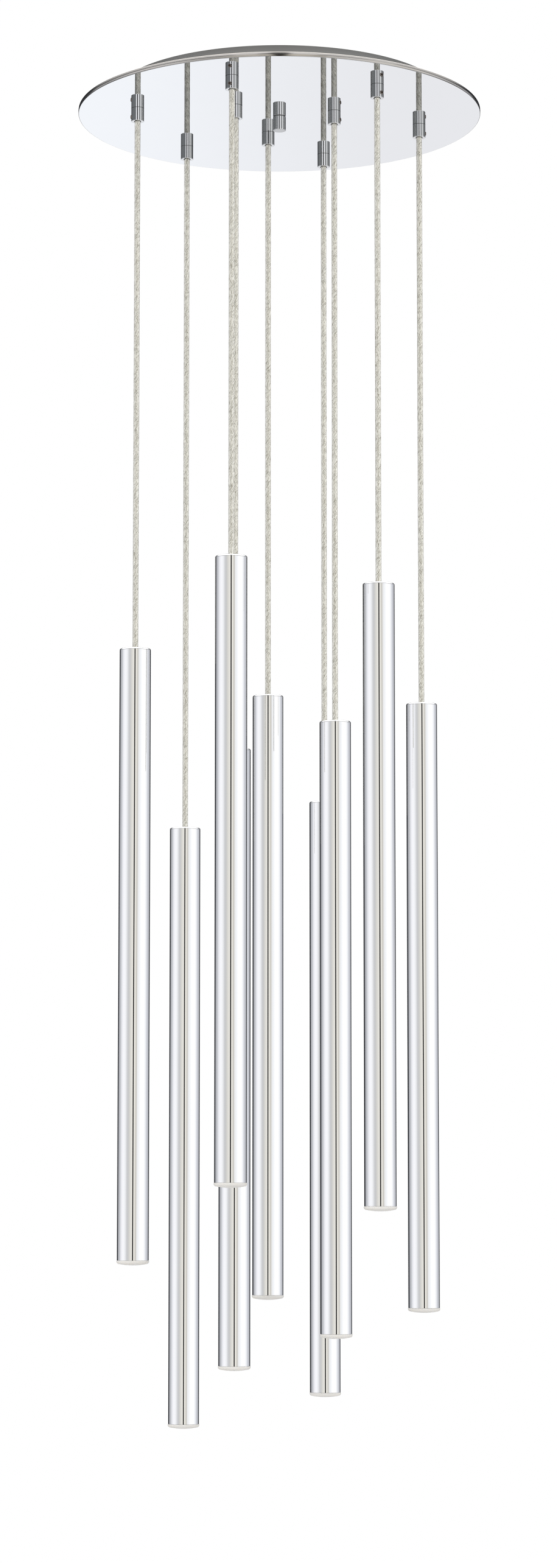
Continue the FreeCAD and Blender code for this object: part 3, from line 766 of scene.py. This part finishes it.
def make_cord(number, x, y, drop):
    """Cord of twisted strands down a straight route.

    Round the cord the radius follows R (1 - a (1 - |cos(n t / 2)|)) for n strands, and the whole section
    turns by one full turn in each twist pitch, a little unevenly. Each end is closed by a fan.
    """
    foot = PLATE_FACE - drop + LIGHT_LENGTH - CAP_BORE_DEPTH
    stops = np.array([(x, y, GRIP_END), (x, y, (GRIP_END + foot) / 2), (x, y, foot)])
    line = route_points("cord_route_%d" % number, stops)
    along = np.r_[0, np.cumsum(np.linalg.norm(np.diff(line, axis=0), axis=1))]
    around = STRANDS * CORD_STEPS
    angle = np.arange(around) * TURN / around
    wobble = 1 + 0.02 * np.sin(along * 410 + number)[:, None] * np.cos(2 * angle + number)[None]
    ridge = 1 - np.abs(np.cos(angle * STRANDS / 2))
    radius = CORD_RADIUS * (1 - STRAND_RELIEF * ridge)[None] * np.minimum(wobble, 1.0)
    uneven = 0.35 * np.sin(along * 170 + 2 * number) + 0.2 * np.sin(along * 470 + number)
    turn = angle[None] - TURN * along[:, None] / TWIST_PITCH + uneven[:, None]
    rings = np.stack([
        line[:, None, 0] + radius * np.cos(turn),
        line[:, None, 1] + radius * np.sin(turn),
        np.broadcast_to(line[:, None, 2], turn.shape),
    ], -1)
    piece = link_mesh("strand_cord_%d" % number, skin(rings, line[[0, -1]], downwards=True))
    space = np.stack(np.broadcast_arrays(np.cos(angle)[None], np.sin(angle)[None], along[:, None]), -1)
    space = np.concatenate([space.reshape(-1, 3), [[0, 0, 0], [0, 0, along[-1]]]])
    space[:, 2] += number * PATTERN_SHIFT
    mark_strands(piece, space)
    finish_piece(piece, CORD_SKIN, "hang_%d" % number, "cord_jacket", "cord_%d" % number, sharp=80)
    length = GRIP_END - foot
    "height_%d" % number
    SHORTEST_CORD / length
    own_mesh(piece)


# Light tubes

TUBE_STEPS = 128
# How far the painted shade in the seams of a tube and its cap reaches, and how dark it is.
SEAM = 0.1 * MM
SEAM_SHADE = 0.6
SEAM_ROWS = (0.2 * MM, 0.3 * MM)


def finish_light(piece, number, finish, slot, node, sharp=35):
    """Finish one piece of a hanging light, which the polished pieces round it don't mirror."""
    finish_piece(piece, finish, "light_%d" % number, slot, "%s_%d" % (node, number), sharp=sharp)
    piece.visible_glossy = False


def make_cap(number, x, y, drop):
    """Turned cap: a rounded flange with a small cord hole, and a plug inside the tube. Painted shade darkens the
    seam on the tube and the cord hole.
    """
    top = PLATE_FACE - drop + LIGHT_LENGTH
    seat = top - CAP_FLANGE
    seam = seat + 0.05 * MM
    shape = turned(rounded([
        (LEAD_RADIUS, seat - CAP_PLUG), (PLUG_RADIUS, seat - CAP_PLUG, 0.3 * MM), (PLUG_RADIUS, seam),
        (TUBE_RADIUS, seam, 0.1 * MM), *((TUBE_RADIUS, seat + row) for row in SEAM_ROWS),
        (TUBE_RADIUS, top, 1.25 * MM), (CAP_BORE, top, 0.25 * MM),
        (CAP_BORE, top - CAP_BORE_DEPTH), (LEAD_RADIUS, top - CAP_BORE_DEPTH),
    ], steps=6), TUBE_STEPS)
    points = shape[0]
    piece = link_mesh("tube_cap_%d" % number, moved(shape, (x, y, 0)))
    # Painted shade in the seam on the tube and in the cord hole.
    shade = SEAM_SHADE * near(points[:, 2], seat, SEAM, SEAM)
    across = np.hypot(points[:, 0], points[:, 1])
    mark(piece, "shade", np.maximum(shade, near(across, CAP_BORE, 0.05 * MM, 0.15 * MM)))
    finish_light(piece, number, CHROME, "polished_chrome", "cap")


def make_tube(number, x, y, drop):
    """Polished tube wall with a fine rounding at both ends, and painted shade in the seams under the cap and over
    the lens.
    """
    foot = PLATE_FACE - drop
    top = foot + LIGHT_LENGTH - CAP_FLANGE
    middle = (foot + top) / 2
    shape = turned(rounded([
        (TUBE_BORE, middle), (TUBE_BORE, foot, 0.15 * MM), (TUBE_RADIUS, foot, 0.2 * MM),
        *((TUBE_RADIUS, top - row) for row in SEAM_ROWS[::-1]),
        (TUBE_RADIUS, top, 0.1 * MM), (TUBE_BORE, top, 0.1 * MM), (TUBE_BORE, middle + 0.001 * MM),
    ]), TUBE_STEPS)
    heights = shape[0][:, 2]
    piece = link_mesh("light_tube_%d" % number, moved(shape, (x, y, 0)))
    # Painted shade in the seams under the cap and over the lens.
    shade = SEAM_SHADE * near(heights, top, SEAM, SEAM)
    mark(piece, "shade", np.maximum(shade, near(heights, foot, SEAM, SEAM)))
    finish_light(piece, number, CHROME, "polished_chrome", "tube")


def make_lens(number, x, y, drop):
    """Frosted lens: a shallow dome with a softly rounded edge, a straight rim and a hollow plug."""
    foot = PLATE_FACE - drop
    edge = foot - LENS_RIM
    plug = foot + LENS_PLUG
    across = np.sin(np.linspace(0, 1, 22) * math.pi / 2) * (LENS_RADIUS - 1.8 * MM)
    outside = dome(LENS_RADIUS, LENS_RISE, edge, across)
    side = rounded([
        tuple(outside[-1]), (LENS_RADIUS, edge, 2.2 * MM), (LENS_RADIUS, foot, 0.3 * MM),
        (PLUG_RADIUS, foot, 0.1 * MM), (PLUG_RADIUS, plug, 0.3 * MM), (LENS_WELL, plug, 0.3 * MM),
        (LENS_WELL, foot),
    ])[1:]
    inside = dome(LENS_WELL, LENS_WELL_RISE, foot, np.linspace(1, 0, 12)[1:] * LENS_WELL)
    shape = turned(np.concatenate([outside, side, inside]), TUBE_STEPS)
    piece = link_mesh("frosted_lens_%d" % number, moved(shape, (x, y, 0)))
    finish_light(piece, number, LENS, "frosted_lens", "lens", sharp=50)


def dress_light_source(number):
    """Give the frame's solid of a light source its finish."""
    source = nodes["led_module_%d" % number]
    source.data.materials.clear()
    source.data.materials.append(BARE_METAL)
    source.visible_glossy = False


# Canopy

EDGE_BAND = 1.0 * MM
EDGE_FADE = 0.2 * MM


def canopy_holes(low, high):
    """Cutting shape for the holes of the nine nipples and of the centre rod."""
    holes = [moved(drum(NIPPLE_HOLE, low, high), (x, y, 0)) for _, x, y, _, _ in SPOTS]
    return joined([*holes, drum(ROD_HOLE, low, high)])


def make_plate():
    """Mirror plate: flat face, rim with a soft outward curve, and holes for the grips."""
    lip = PLATE_RADIUS - PLATE_SHEET
    top = PLATE_FACE + RIM_HEIGHT
    draft = 0.12 * MM
    land = 2.0 * MM
    piece = link_mesh("mirror_plate", turned(rounded([
        (0, PLATE_FACE), (PLATE_RADIUS - land, PLATE_FACE), (PLATE_RADIUS - draft, PLATE_FACE, 0.8 * MM),
        (PLATE_RADIUS, PLATE_FACE + RIM_HEIGHT / 2, 13 * MM), (PLATE_RADIUS - draft, top, 0.4 * MM),
        (lip, top, 0.4 * MM), (lip, PLATE_BACK, 0.9 * MM), (lip - land, PLATE_BACK), (0, PLATE_BACK),
    ], steps=8), 384))
    cut_away(piece, canopy_holes(PLATE_FACE - MM, PLATE_BACK + MM))
    points = shape_of(piece)[0]
    across = np.hypot(points[:, 0], points[:, 1])
    above_face = np.clip((points[:, 2] - PLATE_FACE) / (0.3 * MM), 0, 1)
    mark(piece, "edge", near(across, PLATE_RADIUS, EDGE_BAND, EDGE_FADE) * above_face)
    back = near(points[:, 2], PLATE_BACK, 0.01 * MM, EDGE_FADE)
    mark(piece, "shade", BACK_SHADE * back * (across < lip - 0.5 * MM))
    finish_piece(piece, MIRROR, "canopy", "mirror_chrome", "canopy_plate")


def make_pan():
    """Round pan between the plate and the ceiling, open towards the ceiling. Painted shade darkens its top edge
    against the ceiling.
    """
    inner = PAN_RADIUS - PAN_SHEET
    piece = link_mesh("satin_pan", turned(rounded([
        (0, PLATE_BACK), (PAN_RADIUS, PLATE_BACK, 0.9 * MM), (PAN_RADIUS, 0, 0.4 * MM), (inner, 0, 0.4 * MM),
        (inner, PAN_FLOOR, 1.2 * MM), (0, PAN_FLOOR),
    ], steps=6), 256))
    cut_away(piece, canopy_holes(PLATE_BACK - MM, PAN_FLOOR + MM))
    # Painted shade along the top edge, where the pan meets the ceiling.
    mark(piece, "shade", 0.5 * near(shape_of(piece)[0][:, 2], 0, 0.5 * MM, 0.4 * MM))
    finish_piece(piece, PAN_METAL, "canopy", "satin_chrome", "canopy_pan")


def make_grips():
    """Nine cord grips: a chrome cylinder with fine chamfers, a threaded nipple and a set screw hole. Painted shade
    darkens the top where the grip meets the plate and the bore, and the bottom face is a little darker and duller.
    """
    height = PLATE_FACE - GRIP_END
    nipple = NIPPLE_TOP - GRIP_END
    thread = (NIPPLE_RADIUS, height + 1.5 * MM, nipple - 0.5 * MM)
    shape = turned(rounded([
        (GRIP_BORE, height / 2), (GRIP_BORE, 0, 0.25 * MM), (GRIP_RADIUS, 0, 0.35 * MM),
        (GRIP_RADIUS, height - 0.3 * MM), (GRIP_RADIUS, height - 0.2 * MM),
        (GRIP_RADIUS, height, 0.12 * MM), (NIPPLE_RADIUS, height),
        *thread_rows(*thread), (NIPPLE_RADIUS, nipple, 0.35 * MM),
        (GRIP_BORE, nipple, 0.25 * MM), (GRIP_BORE, height / 2 + 0.001 * MM),
    ]))
    cut_thread(shape[0], *thread)
    one = link_mesh("one_grip", shape)
    cut_away(one, on_its_side(drum(SCREW_HOLE, 4 * MM, 9 * MM, 40), SCREW_HEIGHT - GRIP_END))
    shape = shape_of(one)
    bpy.data.objects.remove(one)
    points = shape[0]
    # Painted shade where the grip meets the plate and in the bore; the bottom face only a little darker and
    # duller.
    shade = 0.85 * near(points[:, 2], height, 0.2 * MM, 0.08 * MM)
    shade = np.maximum(shade, near(np.hypot(points[:, 0], points[:, 1]), GRIP_BORE, 0.05 * MM, 0.1 * MM))
    shade = np.maximum(shade, 0.16 * near(points[:, 2], 0, 0.01 * MM, 0.1 * MM))
    piece = link_mesh("chrome_grips", at_each_cord(shape, GRIP_END))
    mark(piece, "shade", np.tile(shade, len(SPOTS)))
    finish_piece(piece, GRIP_CHROME, "canopy", "polished_chrome", "cord_grips")


def make_screws():
    """Set screws in the grips: a cylinder with rounded ends, laid on its side, with a hexagon socket."""
    inner = CORD_RADIUS + SCREW_TIP_PLAY
    outer = GRIP_RADIUS + SCREW_PROUD
    one = link_mesh("one_screw", turned(rounded([
        (0, inner), (SCREW_RADIUS, inner, 0.3 * MM), (SCREW_RADIUS, outer, 0.4 * MM), (0, outer),
    ]), 48))
    cut_away(one, drum(SOCKET_CORNERS, outer - SOCKET_DEPTH, outer + SOCKET_DEPTH, 6))
    shape = on_its_side(shape_of(one), SCREW_HEIGHT - GRIP_END)
    bpy.data.objects.remove(one)
    piece = link_mesh("socket_screws", at_each_cord(shape, GRIP_END))
    finish_piece(piece, DARK_STEEL, "canopy", "dark_steel", "grip_screws")


def make_finial():
    """Round nut under the plate's centre, with a neck groove against the plate. Painted shade darkens the neck
    groove, and the foot face is darker and duller.
    """
    foot = PLATE_FACE - FINIAL_LENGTH
    neck = PLATE_FACE - NECK_HEIGHT
    shape = turned(rounded([
        (0, foot), (FINIAL_RADIUS, foot, 0.45 * MM), (FINIAL_RADIUS, neck, 0.12 * MM),
        (NECK_RADIUS, neck, 0.1 * MM), (NECK_RADIUS, PLATE_FACE), (FINIAL_BORE, PLATE_FACE, 0.2 * MM),
        (FINIAL_BORE, PLATE_FACE - FINIAL_THREAD), (0, PLATE_FACE - FINIAL_THREAD),
    ]))
    heights = shape[0][:, 2]
    piece = link_mesh("round_finial", shape)
    # Painted shade in the neck groove against the plate; the foot face darker and duller.
    shade = 0.75 * near(heights, PLATE_FACE, NECK_HEIGHT, 0.1 * MM)
    mark(piece, "shade", np.maximum(shade, 0.42 * near(heights, foot, 0.01 * MM, 0.1 * MM)))
    finish_piece(piece, GRIP_CHROME, "finial_nut", "polished_chrome", "finial")


def make_rod():
    """Centre rod with a screw thread from end to end."""
    thread = (ROD_RADIUS, ROD_FOOT + 0.4 * MM, -0.4 * MM)
    shape = turned(rounded([
        (0, ROD_FOOT), (ROD_RADIUS, ROD_FOOT, 0.3 * MM), *thread_rows(*thread), (ROD_RADIUS, 0, 0.3 * MM), (0, 0),
    ]), 48)
    cut_thread(shape[0], *thread)
    finish_piece(link_mesh("threaded_rod", shape), ZINC, "canopy", "zinc_steel", "centre_rod")


def make_tails():
    """Clamped cord ends inside the grips: round rods whose strands turn as the free cords' strands do."""
    top = NIPPLE_TOP + TAIL_SPARE
    foot = GRIP_END + 1.5 * MM
    shape = turned(rounded([
        (0, foot), (CORD_RADIUS, foot, 0.1 * MM), *thread_rows(CORD_RADIUS, GRIP_END + 3 * MM, top - MM, 2 * MM),
        (CORD_RADIUS, top, 0.5 * MM), (0, top),
    ]), 48)
    points = shape[0]
    run = top - points[:, 2]
    angle = np.arctan2(points[:, 1], points[:, 0]) + TURN * run / TWIST_PITCH
    share = np.hypot(points[:, 0], points[:, 1]) / CORD_RADIUS
    space = np.stack([share * np.cos(angle), share * np.sin(angle), run], -1)
    piece = link_mesh("clamped_cord_ends", at_each_cord(shape))
    mark_strands(piece, np.tile(space, (len(SPOTS), 1)))
    finish_piece(piece, CORD_SKIN, "canopy", "cord_jacket", "cord_tails")


def soften(name, label, material, slot, width):
    """A copy of one of the frame's solids, its points merged and its edges rounded by a fine bevel."""
    shape = bmesh.new()
    shape.from_mesh(nodes[name].data)
    bmesh.ops.remove_doubles(shape, verts=shape.verts, dist=0.001 * MM)
    bmesh.ops.dissolve_limit(shape, angle_limit=math.radians(0.5), verts=shape.verts, edges=shape.edges)
    mesh = bpy.data.meshes.new(label)
    shape.to_mesh(mesh)
    shape.free()
    piece = bpy.data.objects.new(label, mesh)
    scene.collection.objects.link(piece)
    bevel = piece.modifiers.new("edges", "BEVEL")
    bevel.width = width
    bevel.segments = 3
    bevel.limit_method = "ANGLE"
    bevel.angle_limit = math.radians(40)
    finish_piece(piece, material, "canopy", slot, name)


# Floor

FLOOR_HEIGHT = -1.7
FLOOR_RADIUS = 2.6
FLOOR_SHEET = 0.01
FLOOR_LIFT = 0.12


def make_floor():
    """Pale round floor under the object. The camera sees it white outside the shadow."""
    floor = link_mesh("floor", drum(FLOOR_RADIUS, FLOOR_HEIGHT, FLOOR_HEIGHT + FLOOR_SHEET, 96))
    material = bpy.data.materials.new("pale_floor")
    graph = Graph(material)
    matt = graph.add("ShaderNodeBsdfDiffuse", {}, {"Color": (0.8, 0.8, 0.8)})
    pale = graph.add("ShaderNodeBsdfDiffuse", {}, {"Color": WHITE})
    lift = graph.add("ShaderNodeEmission", {}, {"Color": WHITE, "Strength": FLOOR_LIFT})
    white = graph.add("ShaderNodeAddShader", {}, {0: pale, 1: lift})
    camera_ray = graph.add("ShaderNodeLightPath", output="Is Camera Ray")
    both = graph.add("ShaderNodeMixShader", {}, {0: camera_ray, 1: matt, 2: white})
    graph.add("ShaderNodeOutputMaterial", {}, {"Surface": both})
    floor.data.materials.append(material)
    floor.visible_glossy = False


make_studio()
make_lamp()
make_floor()
make_plate()
make_pan()
make_grips()
make_screws()
make_finial()
make_rod()
make_tails()
soften("mounting_bracket", "slotted_bracket", ZINC, "zinc_steel", 0.3 * MM)
soften("rod_nut", "locking_nut", ZINC, "zinc_steel", 0.25 * MM)
soften("grip_nuts", "thin_nuts", ZINC, "zinc_steel", 0.25 * MM)
soften("grip_washers", "flat_washers", ZINC, "zinc_steel", 0.15 * MM)
soften("pan_screws", "pan_head_screws", ZINC, "zinc_steel", 0.25 * MM)
soften("led_driver", "driver_box", PLASTIC, "white_plastic", 0.4 * MM)
soften("terminal_block", "lead_block", PLASTIC, "white_plastic", 0.4 * MM)
soften("ground_screw", "green_screw", ENAMEL, "green_enamel", 0.25 * MM)
for number, x, y, _, drop in SPOTS:
    make_cord(number, x, y, drop)
    make_cap(number, x, y, drop)
    make_tube(number, x, y, drop)
    make_lens(number, x, y, drop)
    dress_light_source(number)
